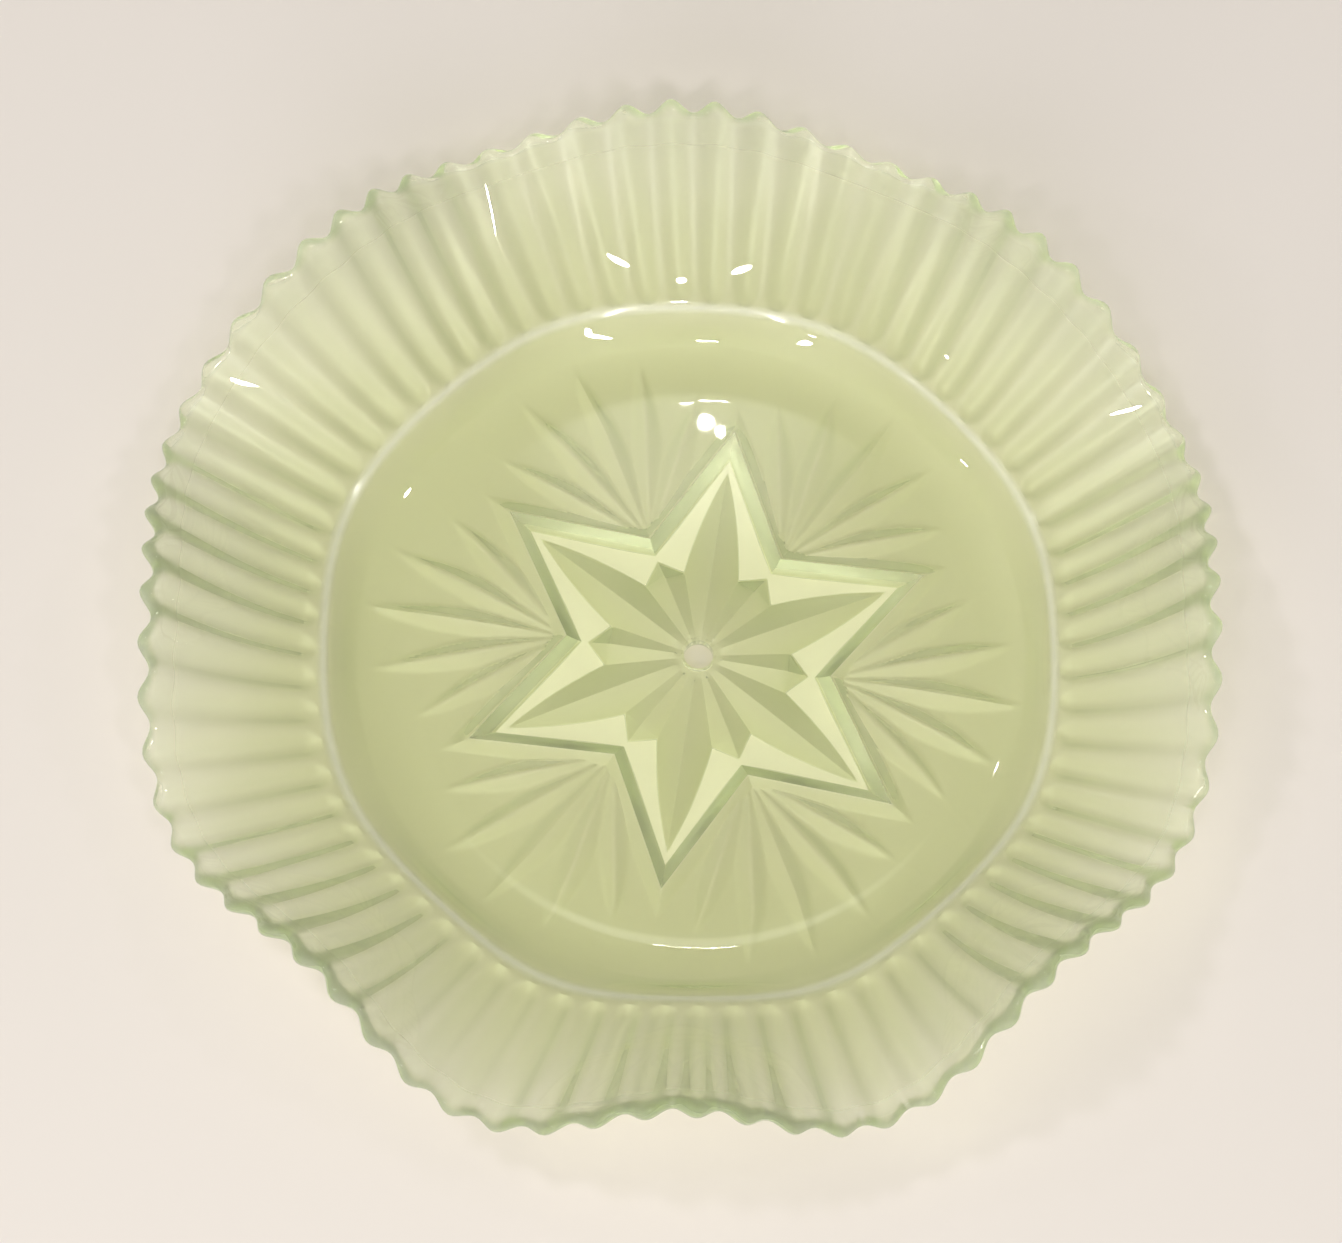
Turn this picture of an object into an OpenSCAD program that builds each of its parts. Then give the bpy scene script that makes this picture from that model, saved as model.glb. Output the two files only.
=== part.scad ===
// Pressed glass dish with a six-pointed star base and a crimped, fluted rim.
//
// One solid piece of glass. The origin is on the axis of the centre hole, in the
// plane that the star stands on, with +Z up. The inside is smooth. The relief is
// all on the underside: twelve V-cut petals in a flat star, a fan of V cuts in
// each notch of the star, and hollow flutes under the rim.

/* [Hole] */
// Diameter of the centre hole, for a 6 mm or quarter-inch bolt
hole_d = 6.5; // [5:0.1:8]
// Width of the bevel round the top of the hole
hole_bevel = 0.6; // [0.2:0.1:0.8]
// Radius of the plain spot round the hole on the underside
spot_r = 4.8; // [4.6:0.1:6]

/* [Base] */
// Glass thickness over the star, which is the flat that the dish stands on
star_t = 6.5; // [5.8:0.1:7.5]
// Glass thickness everywhere else
wall_t = 4.5; // [4:0.1:5]
// Distance from the axis to the six tips of the star
star_r = 48; // [44:0.5:50]
// Distance from the axis to the six notches of the star
notch_r = 26.2; // [25.5:0.1:28]
// Turn of the pressing, star and flutes together, under the crimping
star_turn = 21.3; // [0:0.1:60]
// Depth of the petal cuts at the middle of the dish
petal_d = 3.4; // [2:0.1:3.8]
// Distance from the axis to the tips of the six long petals
petal_r = 45; // [43:0.5:46]
// Distance from the axis to the tips of the six short petals
leaf_r = 24.8; // [24:0.1:25.2]
// Width of the sloping bank between the star and the fans
bank_w = 2.8; // [2.4:0.1:3.6]
// Depth of the cuts in each fan
fan_d = 1.9; // [1:0.1:2.2]
// Angle from one cut of a fan to the next
fan_step = 19.5; // [18:0.5:20]

/* [Well] */
// Radius of the flat floor inside the well
floor_r = 65; // [60:0.5:66]
// Radius of the shoulder where the well ends and the rim begins
shoulder_r = 80.5; // [80:0.5:86]
// Height of the shoulder above the table
shoulder_z = 13; // [11.5:0.5:18]

/* [Rim] */
// Mean radius of the rim's edge
rim_r = 116; // [112:0.5:120]
// Mean height of the rim's edge above the table
rim_z = 36; // [32:0.5:40]
// Slope of the rim where it leaves the shoulder, in degrees
rim_slope = 18; // [12:1:26]
// Glass thickness at the rim's edge, measured on the ribs
edge_t = 4; // [3:0.1:4.4]
// How much higher the crests of the crimping are than the mean edge
crimp_rise = 10.5; // [0:0.5:12]
// How far the crests are drawn in towards the axis
crimp_draw = 3.6; // [0:0.2:5]
// How far the whole edge leans to the left of the base
lean_x = 4.8; // [0:0.2:6]
// How far the whole edge leans to the back of the base
lean_y = 2.2; // [0:0.2:4]
// Depth of the flutes under the rim
flute_d = 1.4; // [0.6:0.1:1.8]
// Depth of the scallop that each flute leaves in the edge
scallop_d = 1.6; // [0:0.1:2]

/* [Hidden] */

// The crimping is done by hand, so its eight crests aren't quite evenly spaced
crest_at = [0, 45, 90, 132, 180, 227, 270, 313];
flutes = 72;
base_n = 2 * flutes;      // points round the smooth parts and the base relief
rim_n = 4 * flutes;       // points round the fluted underside of the rim
leaf_at = 30;             // angle from a long petal to a short one
ridge_at = 17;            // angle from a long petal to the ridge beside it
mouth_r = shoulder_r - 5; // where the base relief has ended
fan_r = notch_r + bank_w / cos(leaf_at) + 0.2;  // the point that a fan spreads from
fan_end = mouth_r - 1.5;  // where the middle cut of a fan ends
fan_short = 7;            // how much shorter the outer cuts of a fan are
groove_d = fan_d + 0.3;   // depth of the groove at the foot of the star's bank
groove_end = 14;          // the groove fades out this far past the star's tips
follow = 0.08;            // share of the crimping that reaches the shoulder

// Slopes of the sides of the V cuts, as rise over run
petal_k = petal_d / 7;
fan_k = 0.6;
bank_k = 0.8;

// The well's wall is an arc that leaves the floor level and meets the shoulder
rise = shoulder_z - star_t;
run = shoulder_r - floor_r;
wall_a = 2 * atan(rise / run);
wall_r = run / sin(wall_a);

// All angles below are measured round the axis from a star tip, and folded
// angles run from 0 at a tip to 30 at a notch.

// ---- Underside relief ----

// Angle from the nearest star tip
function fold(a) = let(b = a - 60 * floor(a / 60)) min(b, 60 - b);

// Underside of the plain glass between the cuts
function skin_z(r) =
    let(s = max(0, r - floor_r) / (wall_r + wall_t))
    star_t + wall_r - (wall_r + wall_t) * sqrt(1 - s * s);

// Centre line depth of a long petal
function petal_z(s) = petal_d * (1 - pow(s / petal_r, 2.5));

// Centre line depth of a short petal, which ends in a blunt point
function leaf_z(s) =
    let(narrow = sin(ridge_at) - sin(leaf_at - ridge_at))
    min(petal_z(s) - petal_k * s * narrow, petal_k * 0.96 * (leaf_r - s));

// Height of the petal cuts over the star flat, below zero outside them
function petals_z(r, f) = max(
    petal_z(r * cos(f)) - petal_k * r * sin(f),
    leaf_z(r * cos(leaf_at - f)) - petal_k * r * sin(leaf_at - f));

// Radius at which the petals end, found by halving the gap between lo and hi
function petal_edge(f, lo = 16, hi = 46, n = 14) =
    let(mid = (lo + hi) / 2)
    n == 0 ? mid
    : petals_z(mid, f) > 0 ? petal_edge(f, mid, hi, n - 1)
    : petal_edge(f, lo, mid, n - 1);

// Each side of the star is a straight line: the angle and length of its normal
side_a = atan((star_r - notch_r * cos(leaf_at)) / (notch_r * sin(leaf_at)));
side_d = star_r * cos(side_a);
function star_edge(f, out = 0) = (side_d + out) / cos(side_a - f);

// One V cut of a fan, on an axis turned by t from the notch's own line.
// x runs outward from the fan's point and y across it.
function cut_z(x, y, t) =
    let(s = x * cos(t) + y * sin(t),
        u = s / (fan_end - fan_r - fan_short * pow(t / (2 * fan_step), 2)))
    u <= 0 || u >= 1 ? 0
    : 4 * fan_d * u * (1 - u) - fan_k * abs(y * cos(t) - x * sin(t));

// Depth of the five free cuts of the fan nearest to this point
function fan_z(r, f) =
    let(x = r * cos(leaf_at - f) - fan_r, y = r * sin(leaf_at - f))
    max(0, cut_z(x, y, 0), cut_z(x, y, fan_step), cut_z(x, y, 2 * fan_step));

// Groove at the foot of the bank, with the height fading out past the tips
function bank_z(r, f) =
    let(off = r * cos(side_a - f) - side_d,
        fade = max(0, 1 - pow(max(0, r - star_r) / groove_end, 2)))
    fade * (groove_d - bank_k * abs(off - bank_w));

function ground_z(r, f) = skin_z(r) + max(fan_z(r, f), bank_z(r, f));

// Rings of the base relief, each a list of [radius, height] at the folded angle
function base_ring(k, f) =
    let(pe = petal_edge(f), se = star_edge(f), be = star_edge(f, bank_w))
    k == 0 ? [spot_r, petals_z(spot_r, ridge_at)]
    : k == 1 ? [spot_r + 1, petals_z(spot_r + 1, f)]
    : k == 2 ? [11, petals_z(11, f)]
    : k == 3 ? [lerp(11, pe, 0.6), petals_z(lerp(11, pe, 0.6), f)]
    : k == 4 ? [pe, 0]
    : k == 5 ? [se, 0]
    : let(r = lerp(be, mouth_r, (k - 6) / 6)) [r, ground_z(r, f)];

// ---- Rim ----

function lerp(a, b, t) = a + (b - a) * t;

// Place in the crimping: 0 on a crest, 180 in a hollow, 360 on the next crest
crimp_map = [for (i = [-1:9])
    [crest_at[(i + 8) % 8] + 360 * floor(i / 8), 360 * i]];
function crimp(a) = cos(lookup((a + star_turn) % 360, crimp_map));

// Edge of the rim at angle a, as [radius, height]
function edge_at(a) =
    [rim_r - crimp_draw * crimp(a), rim_z + crimp_rise * crimp(a)];

// The shoulder follows the crimping a little
function shoulder_at(a) =
    [shoulder_r - follow * crimp_rise * crimp(a),
     shoulder_z + follow * crimp_rise * crimp(a)];

// The rim's inside is a curve through these three points in the plane at angle a
function rim_curve(a) =
    let(p = shoulder_at(a), q = edge_at(a), h = 0.5 * (q[0] - p[0]))
    [p, p + h * [1, tan(rim_slope)], q];

// Point on the curve at u, moved d out of its underside
function rim_point(a, u, d) =
    let(c = rim_curve(a),
        p = lerp(lerp(c[0], c[1], u), lerp(c[1], c[2], u), u),
        t = lerp(c[1] - c[0], c[2] - c[1], u))
    p + d * [t[1], -t[0]] / norm(t);

// Across a flute: 0 on the rib, 1 on the flute's centre line
function hollow(a) = 0.5 - 0.5 * cos(a * flutes);

// A point in space. The lean to the left starts in the wall of the well, and the lean
// to the back starts at the shoulder.
function lean(r, u) = u > 0 ? 0.45 + 0.55 * u : 0.45 * max(0, min(1, (r - 58) / 24));
function place(a, p, u = 0) = let(b = a + star_turn)
    [p[0] * cos(b) - lean_x * lean(p[0], u), p[0] * sin(b) + lean_y * u, p[1]];

function ring(n, f) = [for (i = [0:n - 1]) f(360 * i / n)];

// The stations of the ribs along the rim: [u, share of their full height]
stations = [[0.035, 0], [0.1, 0.9], [0.3, 1], [0.55, 1], [0.8, 1]];
function scallop_u(a) = 1 - scallop_d * hollow(a) / (rim_r - shoulder_r);
function rib_t(a, share, t) = t - flute_d * (1 - share * (1 - hollow(a)));

under_base = [for (k = [0:12])
    ring(base_n, function(a) place(a, base_ring(k, fold(a))))];
under_shoulder = ring(base_n, function(a) let(p = shoulder_at(a))
    place(a, p + [0.9, flute_d - wall_t - 0.4]));
under_rim = [for (s = stations)
    ring(rim_n, function(a) place(a,
        rim_point(a, s[0], rib_t(a, s[1], lerp(wall_t, edge_t, s[0]))), s[0]))];
lip = [
    ring(rim_n, function(a) let(u = scallop_u(a) - 0.025)
        place(a, rim_point(a, u, rib_t(a, 1, edge_t)), u)),
    ring(rim_n, function(a) let(u = scallop_u(a))
        place(a, rim_point(a, u, 0.62 * rib_t(a, 1, edge_t)), u)),
    ring(rim_n, function(a) let(u = scallop_u(a))
        place(a, rim_point(a, u, 0.35 * rib_t(a, 1, edge_t)), u)),
    ring(rim_n, function(a) let(u = scallop_u(a) - 0.02)
        place(a, rim_point(a, u, 0), u))];
inside_rim = [for (u = [0.93, 0.7, 0.45, 0.2, 0])
    ring(base_n, function(a) place(a, rim_point(a, u, 0), u))];
inside_well = [for (s = [0.8, 0.55, 0.3, 0])
    ring(base_n, function(a) place(a,
        [floor_r + wall_r * sin(s * wall_a), star_t + wall_r * (1 - cos(s * wall_a))]))];

rings = concat(under_base, [under_shoulder], under_rim, lip, inside_rim, inside_well);

// Number of points before each ring, and the number in all
start = [for (i = 0, n = 0; i <= len(rings);
    n = n + (i < len(rings) ? len(rings[i]) : 0), i = i + 1) n];

// Triangles between ring k and the next one, which may have twice or half as many points
function strip(k) =
    let(a = len(rings[k]), b = len(rings[k + 1]), m = min(a, b))
    [for (i = [0:m - 1], t = strip_step(k, i, a / m, b / m, (i + 1) % m)) t];
function strip_step(k, i, fa, fb, j) =
    let(p = start[k], q = start[k + 1])
    fa == fb ? [[p + i, q + i, p + j], [p + j, q + i, q + j]]
    : fb == 2 ? [[p + i, q + 2 * i, q + 2 * i + 1], [p + i, q + 2 * i + 1, p + j],
                 [p + j, q + 2 * i + 1, q + 2 * j]]
    : [[p + 2 * i, q + i, p + 2 * i + 1], [p + 2 * i + 1, q + i, q + j],
       [p + 2 * i + 1, q + j, p + 2 * j]];

module blank() {
    n = len(rings);
    polyhedron(
        points = [for (r = rings, p = r) p],
        faces = concat(
            [[for (i = [0:base_n - 1]) i]],
            [for (k = [0:n - 2], t = strip(k)) t],
            [[for (i = [0:base_n - 1]) start[n] - 1 - i]]),
        convexity = 10);
}

// The whole dish is one pressing of glass, drilled through the middle
module dish() {
    color([0.72, 0.8, 0.42, 0.6])
    difference() {
        blank();
        translate([0, 0, -1]) cylinder(h = star_t + 2, d = hole_d, $fn = 96);
        translate([0, 0, star_t - hole_bevel])
            cylinder(h = 2 * hole_bevel, d1 = hole_d, d2 = hole_d + 4 * hole_bevel, $fn = 96);
    }
}

dish();
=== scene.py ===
"""Looks of the pressed uranium glass dish: its fine mesh, its glass, and the stage.

The mesh is one closed skin of rings round the axis. It runs from the hole outward under
the base, along the fluted underside of the rim, round the lip, and back over the smooth
inside to the hole. Lengths in the shape functions are millimetres and angles are degrees
from a tip of the star, as in the part's source.
"""

import math

import bpy
import numpy as np
from mathutils import Matrix, Vector


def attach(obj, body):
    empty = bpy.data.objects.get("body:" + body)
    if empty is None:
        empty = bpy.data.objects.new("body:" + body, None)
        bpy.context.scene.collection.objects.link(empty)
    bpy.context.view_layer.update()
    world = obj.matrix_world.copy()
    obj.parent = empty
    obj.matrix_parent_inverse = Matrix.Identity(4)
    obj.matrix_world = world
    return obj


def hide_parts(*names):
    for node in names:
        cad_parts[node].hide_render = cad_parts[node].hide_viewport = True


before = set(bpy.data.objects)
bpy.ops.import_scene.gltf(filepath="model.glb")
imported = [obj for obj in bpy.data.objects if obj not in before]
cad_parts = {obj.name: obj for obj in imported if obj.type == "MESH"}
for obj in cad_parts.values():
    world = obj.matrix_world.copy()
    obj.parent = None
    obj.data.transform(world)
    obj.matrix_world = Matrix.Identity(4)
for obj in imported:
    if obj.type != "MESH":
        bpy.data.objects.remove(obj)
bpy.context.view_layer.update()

MM = 0.001

# Hole
HOLE_R, HOLE_BEVEL, HOLE_CHAMFER, SPOT_R = 3.25, 0.6, 0.3, 4.8
# Star and its petals. A short petal, or leaf, ends in a blunt point.
STAR_T, WALL_T = 6.5, 4.5
STAR_R, NOTCH_R, STAR_TURN = 48.0, 26.2, 21.3
TIP_STEP, LEAF_AT, RIDGE_AT = 60.0, 30.0, 17.0
PETAL_D, PETAL_R, PETAL_W, PETAL_FALL = 3.4, 45.0, 7.0, 2.5
LEAF_R, LEAF_END = 24.8, 0.96
# Bank and groove round the star, and fans of V cuts in its notches
BANK_W, BANK_SLOPE = 2.8, 0.8
FAN_D, FAN_STEP, FAN_SLOPE, FAN_SHORT = 1.9, 19.5, 0.6, 7.0
GROOVE_D, GROOVE_END = FAN_D + 0.3, 14.0
# Well
FLOOR_R, SHOULDER_R, SHOULDER_Z = 65.0, 80.5, 13.0
MOUTH_R = SHOULDER_R - 5  # the underside turns from the well to the rim here
SHOULDER_OUT, SHOULDER_DROP = 0.9, 0.4  # where the underside passes below the shoulder
# Rim
RIM_R, RIM_Z, RIM_SLOPE, EDGE_T = 115.8, 36.0, 18.0, 4.0
CRIMP_RISE, CRIMP_DRAW = 10.5, 3.6
CREST_AT = [0, 45, 90, 132, 180, 227, 270, 313]
FOLLOW = 0.08 * CRIMP_RISE  # the crimping that is left at the shoulder
LEAN, LEAN_START = (-4.8, 2.2), 0.45  # this share of the lean is reached at the shoulder
LEAN_FROM, LEAN_OVER = 58.0, 24.0
FLUTES, FLUTE_D, SCALLOP_D = 72, 1.4, 1.6
RIB_START, RIB_END_LONG = 0.035, 0.09
# Widths over which corners are rounded
CUT_SOFT, FAN_SOFT, EDGE_SOFT, GROOVE_SOFT, FLUTE_SOFT = 0.22, 0.15, 0.12, 0.3, 0.06
# Smooth bends on the inside, as shares of the rim's width and of the wall's arc
BEND_U, BEND_T, FOOT_T = 0.1, 0.85, 0.35
FLAT_R = FLOOR_R - 4
# How tinted and how frosted the less satin surfaces are. On the polished lip nose and shoulder bend
# the frosting is painted light: it lightens the lip and paints a light line along the bend.
STAR_TINT, BANK_TINT, LIP_PAINTED_LIGHT_TINT, LIP_PAINTED_LIGHT_FROST, BEND_PAINTED_LIGHT = 0.2, 0.8, 0.2, 0.35, 0.4
RIM_FADE, BEND_PAINTED_LIGHT_FADE = 0.4, 1.5

ROUND = 720  # points round each ring
HALVINGS = 24

PETAL_K = PETAL_D / PETAL_W
# A fan's point lies just past the bank in a notch, and its cuts end just short of the mouth
FAN_R = NOTCH_R + BANK_W / math.cos(math.radians(LEAF_AT)) + 0.2
FAN_END = MOUTH_R - 1.5
WALL_A = 2 * math.atan((SHOULDER_Z - STAR_T) / (SHOULDER_R - FLOOR_R))
WALL_R = (SHOULDER_R - FLOOR_R) / math.sin(WALL_A)


def sin(a):
    return np.sin(np.radians(a))


def cos(a):
    return np.cos(np.radians(a))


def soft_abs(v, w):
    """|v| with its corner rounded over a width of about w."""
    return np.sqrt(v * v + w * w) - w


def soft_max(p, q, w):
    """The larger of p and q, with the join rounded over about w."""
    return 0.5 * (p + q + np.sqrt((p - q) ** 2 + w * w))


def blend(p, q, t):
    return p + (q - p) * t


def curve(p, q, r, t):
    """Point on the curve that leaves p towards q and comes to r from q."""
    return blend(blend(p, q, t), blend(q, r, t), t)


def halve(inside, lo, hi):
    """The radius between lo and hi where inside(radius) stops being true."""
    for _ in range(HALVINGS):
        mid = (lo + hi) / 2
        yes = inside(mid)
        lo, hi = np.where(yes, mid, lo), np.where(yes, hi, mid)
    return (lo + hi) / 2


ANGLES = np.arange(ROUND) * 360.0 / ROUND
ONE = np.ones(ROUND)


# ---- Underside of the base ----


def fold(a):
    """Angle from the nearest star tip: 0 at a tip, 30 at a notch."""
    b = np.mod(a, TIP_STEP)
    return np.minimum(b, TIP_STEP - b)


def skin_z(r):
    """Underside of the plain glass between the cuts."""
    s = np.maximum(0, r - FLOOR_R) / (WALL_R + WALL_T)
    return STAR_T + WALL_R - (WALL_R + WALL_T) * np.sqrt(1 - s * s)


def petal_z(s):
    """Depth of a long petal's crease."""
    return PETAL_D * (1 - np.power(s / PETAL_R, PETAL_FALL))


def leaf_body_z(s):
    """Depth of a short petal's crease, which keeps its ridge to a long petal at RIDGE_AT."""
    return petal_z(s) - PETAL_K * s * (sin(RIDGE_AT) - sin(LEAF_AT - RIDGE_AT))


def leaf_end_z(s):
    """Depth of a short petal's crease at its blunt end."""
    return PETAL_K * LEAF_END * (LEAF_R - s)


def petals_z(r, f):
    """Height of the petal cuts over the star flat, below zero outside them."""
    long_cut = petal_z(r * cos(f)) - PETAL_K * r * sin(f)
    s = r * cos(LEAF_AT - f)
    leaf_z = np.minimum(leaf_body_z(s), leaf_end_z(s))
    return np.maximum(long_cut, leaf_z - PETAL_K * r * sin(LEAF_AT - f))


def leaf_crease(f):
    """Radius of the line where a short petal turns down to its blunt end."""
    crease = halve(lambda s: leaf_body_z(s) < leaf_end_z(s), 12.0, LEAF_R)
    return crease / cos(LEAF_AT - np.maximum(f, RIDGE_AT))


def petal_edge(f):
    """Radius at which the petals end."""
    return halve(lambda r: petals_z(r, f) > 0, np.full_like(f, 16.0), np.full_like(f, 46.0))


SIDE_A = math.degrees(math.atan(
    (STAR_R - NOTCH_R * cos(LEAF_AT)) / (NOTCH_R * sin(LEAF_AT))))
SIDE_D = STAR_R * cos(SIDE_A)


def star_edge(f, out=0.0):
    return (SIDE_D + out) / cos(SIDE_A - f)


def cut_z(x, y, t):
    """One V cut of a fan, along an axis turned by t. x runs outward from the fan's point."""
    s = x * cos(t) + y * sin(t)
    u = np.clip(s / (FAN_END - FAN_R - FAN_SHORT * (t / (2 * FAN_STEP)) ** 2), 0, 1)
    return 4 * FAN_D * u * (1 - u) - FAN_SLOPE * soft_abs(y * cos(t) - x * sin(t), CUT_SOFT)


def fan_z(r, f):
    """Depth of the fan cuts nearest to this point."""
    x, y = r * cos(LEAF_AT - f) - FAN_R, r * sin(LEAF_AT - f)
    fan = cut_z(x, y, 0)
    for n in (1, 2):
        fan = soft_max(fan, cut_z(x, y, n * FAN_STEP), FAN_SOFT)
    return soft_max(0, fan, EDGE_SOFT)


def groove_z(r, f):
    """Depth of the groove at the foot of the star's bank, which fades past the tips."""
    off = r * cos(SIDE_A - f) - SIDE_D
    fade = np.clip(1 - (np.maximum(0, r - STAR_R) / GROOVE_END) ** 2, 0, None)
    return fade * (GROOVE_D - BANK_SLOPE * soft_abs(off - BANK_W, GROOVE_SOFT))


def groove_edge(f):
    """Radius at which the groove's outer side runs out."""
    foot = star_edge(f, BANK_W)
    return halve(lambda r: groove_z(r, f) > fan_z(r, f), foot, foot + 9)


def ground_z(r, f):
    """Underside outside the star: plain glass, fan cuts and the groove round the star."""
    return skin_z(r) + soft_max(fan_z(r, f), groove_z(r, f), EDGE_SOFT)


# ---- Rim ----


def crimp(a):
    """1 on a crest of the crimping and -1 in a hollow."""
    crests = [CREST_AT[-1] - 360] + CREST_AT + [CREST_AT[0] + 360, CREST_AT[1] + 360]
    turns = 360.0 * np.arange(-1, len(CREST_AT) + 2)
    return cos(np.interp(np.mod(a + STAR_TURN, 360), crests, turns))


def rim_frame(a, u):
    """(point, outward tangent, outward normal of the underside) on the rim's inside curve."""
    c = crimp(a)
    p0 = np.stack([SHOULDER_R - FOLLOW * c, SHOULDER_Z + FOLLOW * c], -1)
    p2 = np.stack([RIM_R - CRIMP_DRAW * c, RIM_Z + CRIMP_RISE * c], -1)
    half = 0.5 * (p2[:, :1] - p0[:, :1])
    p1 = p0 + half * np.array([1, math.tan(math.radians(RIM_SLOPE))])
    u = np.broadcast_to(u, a.shape)[:, None]
    q0, q1 = p0 + (p1 - p0) * u, p1 + (p2 - p1) * u
    t = (p1 - p0) * (1 - u) + (p2 - p1) * u
    t /= np.linalg.norm(t, axis=1, keepdims=True)
    n = np.stack([t[:, 1], -t[:, 0]], -1)
    return q0 + (q1 - q0) * u, t, n


def hollow(a):
    """0 on a rib and 1 on a flute's centre line."""
    return 0.5 - 0.5 * cos(a * FLUTES)


def flute_depth(a, u):
    """Depth below the ribs, which rise in a rounded end near the shoulder."""
    start = np.clip((RIB_START + RIB_END_LONG - u) / RIB_END_LONG, 0, 1)
    return FLUTE_D * (1 - soft_max(0, 1 - hollow(a) - start ** 2, FLUTE_SOFT))


def place(a, p, u):
    """Ring of points in space, in metres. The lean to the left starts in the well's wall."""
    b = a + STAR_TURN
    well = LEAN_START * np.clip((p[:, 0] - LEAN_FROM) / LEAN_OVER, 0, 1)
    rim = LEAN_START + (1 - LEAN_START) * u
    x = p[:, 0] * cos(b) + LEAN[0] * np.where(np.asarray(u) > 0, rim, well)
    y = p[:, 0] * sin(b) + LEAN[1] * u
    return np.stack([x, y, p[:, 1]], -1) * MM


def wall_point(a, t):
    """Point on the inside of the well's wall, from 0 at the floor to 1 at the shoulder."""
    turn = math.degrees(t * WALL_A)
    p = np.array([FLOOR_R + WALL_R * sin(turn), STAR_T + WALL_R * (1 - cos(turn))])
    shoulder = rim_frame(a, 0.0)[0]
    return p + (shoulder - [SHOULDER_R, SHOULDER_Z]) * (max(0, t - 0.5) / 0.5) ** 2


# ---- Skin, ring by ring ----


def ring(r, z):
    """Radius and height all the way round, from single values or one value per angle."""
    return np.stack([r * ONE, z * ONE], -1)


def add_base(add):
    """The hole's lower edge, the petals, the star flat, and the bank and fans round it."""
    f = fold(ANGLES)
    spot_z = float(petals_z(np.array(SPOT_R), RIDGE_AT))
    add(ring(HOLE_R, spot_z + HOLE_CHAMFER), 0)
    add(ring(HOLE_R + HOLE_CHAMFER, spot_z), 1)
    add(ring(SPOT_R, spot_z), 1)
    edge = petal_edge(f)
    crease = leaf_crease(f) + 0.5 * (edge - petal_edge(np.maximum(f, RIDGE_AT)))
    for t in np.linspace(0.04, 1, 10):
        r = blend(SPOT_R, crease, t)
        add(ring(r, petals_z(r, f)), 1)
    for t in (0.25, 0.5, 0.75, 1):
        r = blend(crease, edge, t)
        add(ring(r, petals_z(r, f) if t < 1 else 0), 1)
    star, foot, groove = star_edge(f), star_edge(f, BANK_W), groove_edge(f)
    for t in (0.04, 0.5, 0.96):
        add(ring(blend(edge, star, t), 0), STAR_TINT, frost_and_painted_light=0)
    add(ring(star, 0), 1)
    for t in (0.25, 0.5, 0.75, 1):
        r = blend(star, foot, t)
        add(ring(r, ground_z(r, f) * t), BANK_TINT)
    for start, end, steps in ((foot, groove, 6), (groove, MOUTH_R, 34)):
        for t in np.linspace(0, 1, steps + 1)[1:] ** 1.2:
            r = blend(start, end, t)
            add(ring(r, ground_z(r, f)), 1)


def add_rim(add):
    """The underside from the well's mouth along the flutes, and the lip's round nose, lightened with
    painted light.
    """
    mouth = ring(MOUTH_R, skin_z(MOUTH_R))
    below = rim_frame(ANGLES, 0.0)[0] + np.array([SHOULDER_OUT, FLUTE_D - WALL_T - SHOULDER_DROP])
    for t in (0.33, 0.67, 1):
        add(blend(mouth, below, t), 1)
    for u in [0.04, 0.06, 0.08, 0.1, 0.12, 0.145, 0.17] + list(np.linspace(0.2, 0.92, 11)):
        p, tangent, normal = rim_frame(ANGLES, u)
        thick = blend(WALL_T, EDGE_T, u) - flute_depth(ANGLES, u)
        add(p + normal * thick[:, None], 1 - RIM_FADE * u, u)
    lip_u = 1 - SCALLOP_D * hollow(ANGLES) / (RIM_R - SHOULDER_R)
    p, tangent, normal = rim_frame(ANGLES, lip_u)
    thick = (EDGE_T - flute_depth(ANGLES, 1.0))[:, None]
    for turn in np.linspace(0, 180, 11):
        side = (1 + cos(turn)) / 2
        nose = p + normal * thick * side - tangent * thick * (1 - sin(turn)) / 2
        # Painted light: the nose gets white frosting, strongest on its lower side, and a paler tint
        # than the rim's underside, which lighten the lip
        add(nose, LIP_PAINTED_LIGHT_TINT * side, lip_u, LIP_PAINTED_LIGHT_FROST * side)


def add_inside(add):
    """The polished inside: rim, bend at the shoulder, wall, floor and the hole's bevel. A band of
    white frosting along the bend is a painted light line.
    """
    for u in np.linspace(0.92, 0.16, 9):
        add(rim_frame(ANGLES, u)[0], 0, u)
    rim_end, shoulder = rim_frame(ANGLES, BEND_U)[0], rim_frame(ANGLES, 0.0)[0]
    for t in np.linspace(0, 1, 13):
        p = curve(rim_end, shoulder, wall_point(ANGLES, BEND_T), t)
        # Painted light line: white frosting peaks at the middle of the bend and fades to either side
        add(p, 0, BEND_U * (1 - t) ** 2, max(0, BEND_PAINTED_LIGHT - BEND_PAINTED_LIGHT_FADE * abs(t - 0.5)))
    for t in (0.8, 0.75, 0.7, 0.6, 0.5, 0.4):
        add(wall_point(ANGLES, t), 0)
    turn_at = ring(FLOOR_R + WALL_R * math.tan(FOOT_T * WALL_A / 2), STAR_T)
    for t in np.linspace(0, 1, 5):
        add(curve(wall_point(ANGLES, FOOT_T), turn_at, ring(FLAT_R, STAR_T), t), 0)
    for r in (FLAT_R - 1, 48, 34, 20, 10, HOLE_R + HOLE_BEVEL + 0.3, HOLE_R + HOLE_BEVEL):
        add(ring(r, STAR_T), 0)
    add(ring(HOLE_R, STAR_T - HOLE_BEVEL), 0)


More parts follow.
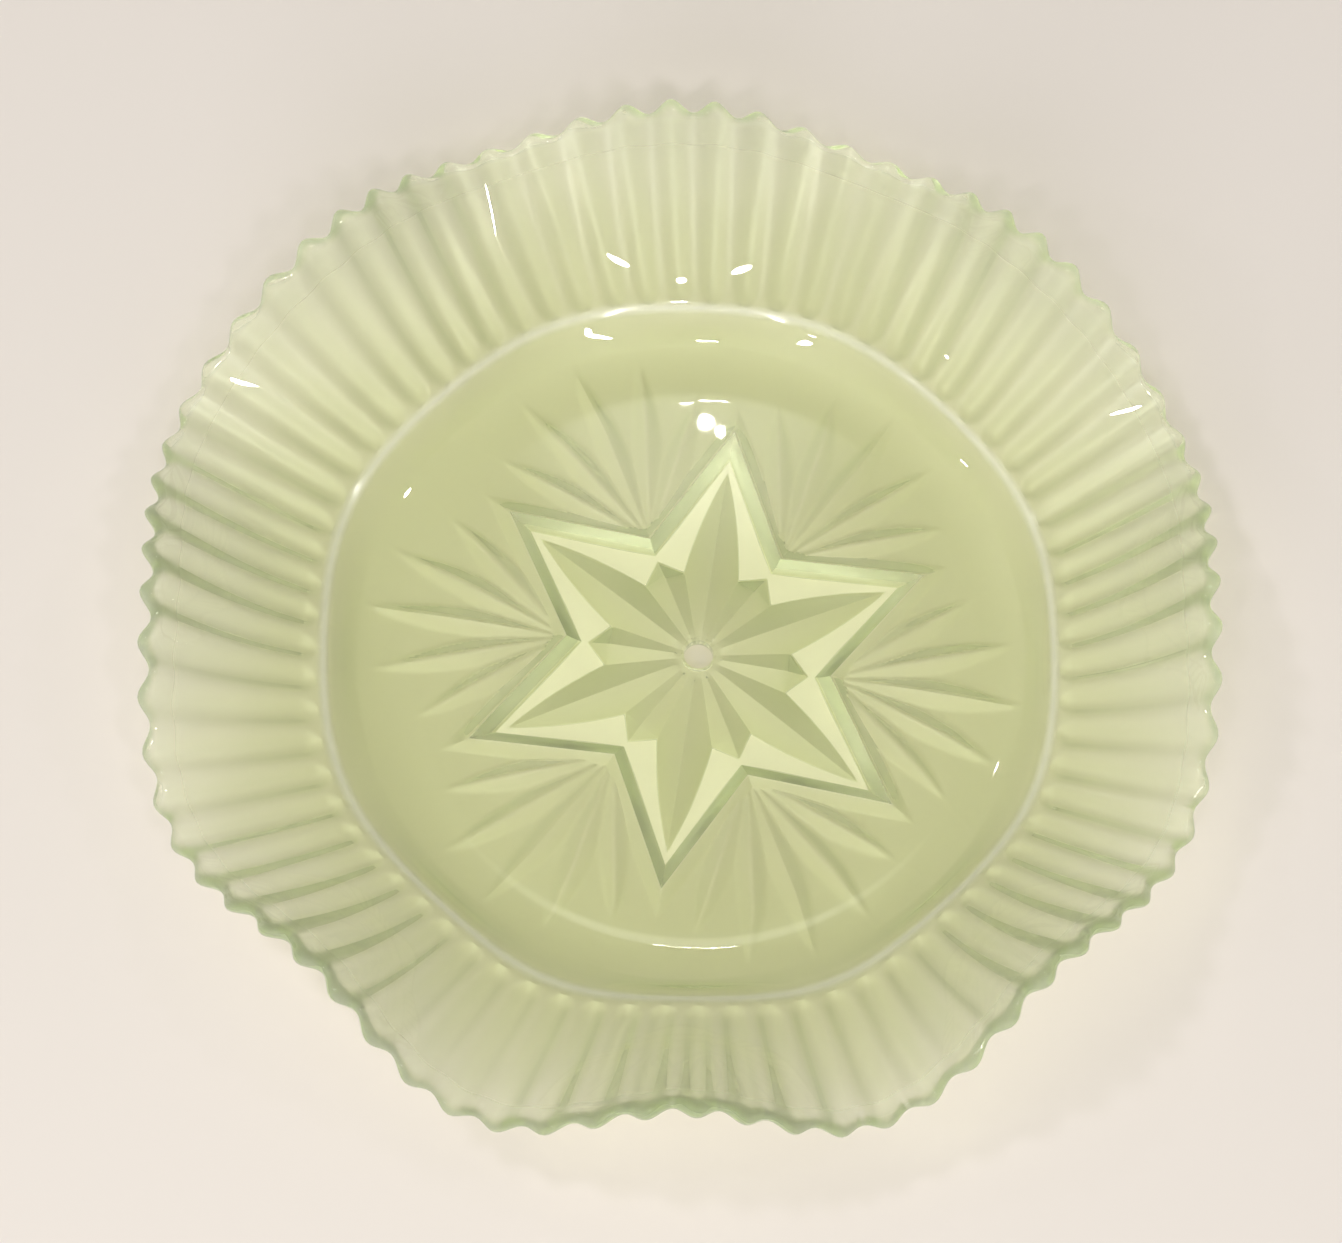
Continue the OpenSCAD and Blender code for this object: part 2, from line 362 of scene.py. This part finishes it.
def build_dish():
    rings = []

    def add(p, tint, u=0.0, frost_and_painted_light=None):
        """Add a ring. Tint and frosting run from 0, clear and polished, to 1, satin; the frosting on
        the shoulder bend and the lip's nose is painted light.
        """
        frost_and_painted_light = tint if frost_and_painted_light is None else frost_and_painted_light
        rings.append((place(ANGLES, p, u), tint * ONE, frost_and_painted_light * ONE))

    add_base(add)
    add_rim(add)
    add_inside(add)
    count = len(rings)
    points, tint, frost_and_painted_light = (np.concatenate(part) for part in zip(*rings))
    k, i = np.meshgrid(np.arange(count), np.arange(ROUND), indexing="ij")
    here, there = k * ROUND, ((k + 1) % count) * ROUND
    j = (i + 1) % ROUND
    quads = np.stack([here + j, there + j, there + i, here + i], -1).reshape(-1, 4)

    mesh = bpy.data.meshes.new("dish_glass")
    mesh.vertices.add(len(points))
    mesh.vertices.foreach_set("co", points.astype(np.float32).ravel())
    mesh.loops.add(quads.size)
    mesh.loops.foreach_set("vertex_index", quads.ravel().astype(np.int32))
    mesh.polygons.add(len(quads))
    mesh.polygons.foreach_set("loop_start", np.arange(0, quads.size, 4, dtype=np.int32))
    mesh.polygons.foreach_set("use_smooth", np.ones(len(quads), bool))
    mesh.update(calc_edges=True)
    for name, values in (("tint", tint), ("frost_and_painted_light", frost_and_painted_light)):
        layer = mesh.attributes.new(name, "FLOAT", "POINT")
        layer.data.foreach_set("value", values.astype(np.float32))
    mesh.validate()
    mesh.set_sharp_from_angle(angle=math.radians(35))
    obj = bpy.data.objects.new("dish_glass", mesh)
    bpy.context.collection.objects.link(obj)
    return obj


# ---- Materials ----


def node_tree(name):
    mat = bpy.data.materials.new(name)
    mat.use_nodes = True
    tree = mat.node_tree
    tree.nodes.clear()
    return mat, tree, tree.nodes.new("ShaderNodeOutputMaterial")


def glass_material():
    """Pale uranium glass: polished inside and on the star flat, satin on the moulded side. White
    frosting on the shoulder bend and the lip's nose is painted light.
    """
    mat, tree, out = node_tree("uranium_glass")
    new, link = tree.nodes.new, tree.links.new
    glass = new("ShaderNodeBsdfPrincipled")
    glass.inputs["IOR"].default_value = 1.52
    tint, frost_and_painted_light = new("ShaderNodeAttribute"), new("ShaderNodeAttribute")
    tint.attribute_name, frost_and_painted_light.attribute_name = "tint", "frost_and_painted_light"
    rough = new("ShaderNodeMapRange")
    rough.inputs["To Min"].default_value = 0.015
    rough.inputs["To Max"].default_value = 0.4
    link(frost_and_painted_light.outputs["Fac"], rough.inputs["Value"])
    link(rough.outputs["Result"], glass.inputs["Roughness"])
    # A frosted face scatters part of the light instead of letting it through
    through = new("ShaderNodeMapRange")
    through.inputs["To Min"].default_value = 1.0
    through.inputs["To Max"].default_value = 0.4
    link(frost_and_painted_light.outputs["Fac"], through.inputs["Value"])
    link(through.outputs["Result"], glass.inputs["Transmission Weight"])
    hue = new("ShaderNodeMix")
    hue.data_type = "RGBA"
    hue.inputs[6].default_value = (1, 1, 1, 1)
    hue.inputs[7].default_value = (0.70, 0.68, 0.525, 1)
    link(tint.outputs["Fac"], hue.inputs[0])
    link(hue.outputs[2], glass.inputs["Base Color"])
    # Some light for shadows passes straight through, so the table under the dish is lit
    clear = new("ShaderNodeBsdfTransparent")
    clear.inputs["Color"].default_value = (0.55, 0.56, 0.45, 1)
    path = new("ShaderNodeLightPath")
    mix = new("ShaderNodeMixShader")
    link(path.outputs["Is Shadow Ray"], mix.inputs["Fac"])
    link(glass.outputs["BSDF"], mix.inputs[1])
    link(clear.outputs["BSDF"], mix.inputs[2])
    link(mix.outputs["Shader"], out.inputs["Surface"])
    body = new("ShaderNodeVolumeAbsorption")
    body.inputs["Color"].default_value = (0.76, 0.98, 0.26, 1)
    body.inputs["Density"].default_value = 24.0
    link(body.outputs["Volume"], out.inputs["Volume"])
    return mat


def floor_material():
    mat, tree, out = node_tree("pale_floor")
    board = tree.nodes.new("ShaderNodeBsdfPrincipled")
    board.inputs["Base Color"].default_value = (0.80, 0.745, 0.695, 1)
    board.inputs["Roughness"].default_value = 0.6
    tree.links.new(board.outputs["BSDF"], out.inputs["Surface"])
    return mat


# ---- Stage, in metres ----


def build_floor():
    mesh = bpy.data.meshes.new("floor")
    half, z = 3.0, -0.05 * MM
    mesh.from_pydata([(-half, -half, z), (half, -half, z), (half, half, z), (-half, half, z)],
                     [], [(0, 1, 2, 3)])
    obj = bpy.data.objects.new("floor", mesh)
    obj.data.materials.append(floor_material())
    bpy.context.collection.objects.link(obj)


def area_light(name, place_at, size, watts, colour=(1, 1, 1)):
    """A round lamp that faces the dish."""
    aim = (0, 0, 0.02)
    light = bpy.data.lights.new(name, "AREA")
    light.shape, light.size, light.energy, light.color = "DISK", size, watts, colour
    obj = bpy.data.objects.new(name, light)
    obj.location = place_at
    obj.rotation_euler = (Vector(aim) - Vector(place_at)).to_track_quat("-Z", "Y").to_euler()
    bpy.context.collection.objects.link(obj)
    return obj


def build_lights():
    world = bpy.data.worlds.new("studio")
    world.use_nodes = True
    tree = world.node_tree
    new, link = tree.nodes.new, tree.links.new
    back = tree.nodes["Background"]
    back.inputs["Color"].default_value = (1.0, 0.985, 0.96, 1)
    # A plain room, brighter towards its walls, with one soft lamp overhead
    where = new("ShaderNodeTexCoord")

    def glow(direction, start, end, low, high):
        facing, strength = new("ShaderNodeVectorMath"), new("ShaderNodeMapRange")
        facing.operation = "DOT_PRODUCT"
        facing.inputs[1].default_value = Vector(direction).normalized()
        strength.interpolation_type = "SMOOTHSTEP"
        for name, value in zip(("From Min", "From Max", "To Min", "To Max"), (start, end, low, high)):
            strength.inputs[name].default_value = value
        link(where.outputs["Generated"], facing.inputs[0])
        link(facing.outputs["Value"], strength.inputs["Value"])
        return strength.outputs["Result"]

    total = new("ShaderNodeMath")
    link(glow((0, 0, 1), 0.0, 0.7, 0.57, 0.33), total.inputs[0])
    link(glow((0.034, 0.394, 0.918), 0.9985, 1.0, 0.0, 2.2), total.inputs[1])
    link(total.outputs["Value"], back.inputs["Strength"])
    bpy.context.scene.world = world
    # These two shape the relief and the shadow, and their outlines stay out of the glass
    area_light("soft_key", (-1.0, 0.35, 1.9), 0.2, 6.6, (1, 0.98, 0.95)).visible_glossy = False
    area_light("window", (-0.3, -1.5, 1.0), 1.4, 16.5).visible_glossy = False
    lamp = (1, 0.97, 0.92)
    for n, x in enumerate((-0.44, 0.0, 0.44)):
        area_light(f"down_light_{n}", (x, -0.95, 1.7), 0.1, 3.6, lamp)
    side = [(-1.4, -0.48, 1.34), (-0.9, 1.2, 1.9), (1.1, 0.1, 1.8)]
    for n, spot in enumerate(side):
        area_light(f"side_light_{n}", spot, 0.05, 1.2, lamp)
    # Three small lamps of one brightness, which show in the floor of the dish
    far = [(0.069, 0.905, 0.018), (0.084, 0.881, 0.012), (0.095, 0.873, 0.008)]
    for n, (x, y, size) in enumerate(far):
        area_light(f"far_light_{n}", (x, y, 2.0), size, 200 * size ** 2, lamp)


def build_camera():
    """Looks down at the dish from 900 mm away, 70 degrees above the table."""
    tilt, around, reach = math.radians(19.73), math.radians(-5.1), 0.9
    target = Vector((-5.92 * MM, 9.74 * MM, 0))
    back = Vector((math.sin(tilt) * math.sin(around), -math.sin(tilt) * math.cos(around),
                   math.cos(tilt)))
    right = Vector((0, 1, 0)).cross(back).normalized()
    up = back.cross(right)
    data = bpy.data.cameras.new("camera")
    data.sensor_width = 36.0
    data.lens = 108.2
    obj = bpy.data.objects.new("camera", data)
    turn = Matrix((right, up, back)).transposed().to_4x4()
    obj.matrix_world = Matrix.Translation(target + back * reach) @ turn
    bpy.context.collection.objects.link(obj)
    bpy.context.scene.camera = obj


dish = build_dish()
dish.data.materials.append(glass_material())
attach(dish, "root")
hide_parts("dish")

build_floor()
build_lights()
build_camera()
bpy.context.scene.view_settings.view_transform = "Standard"
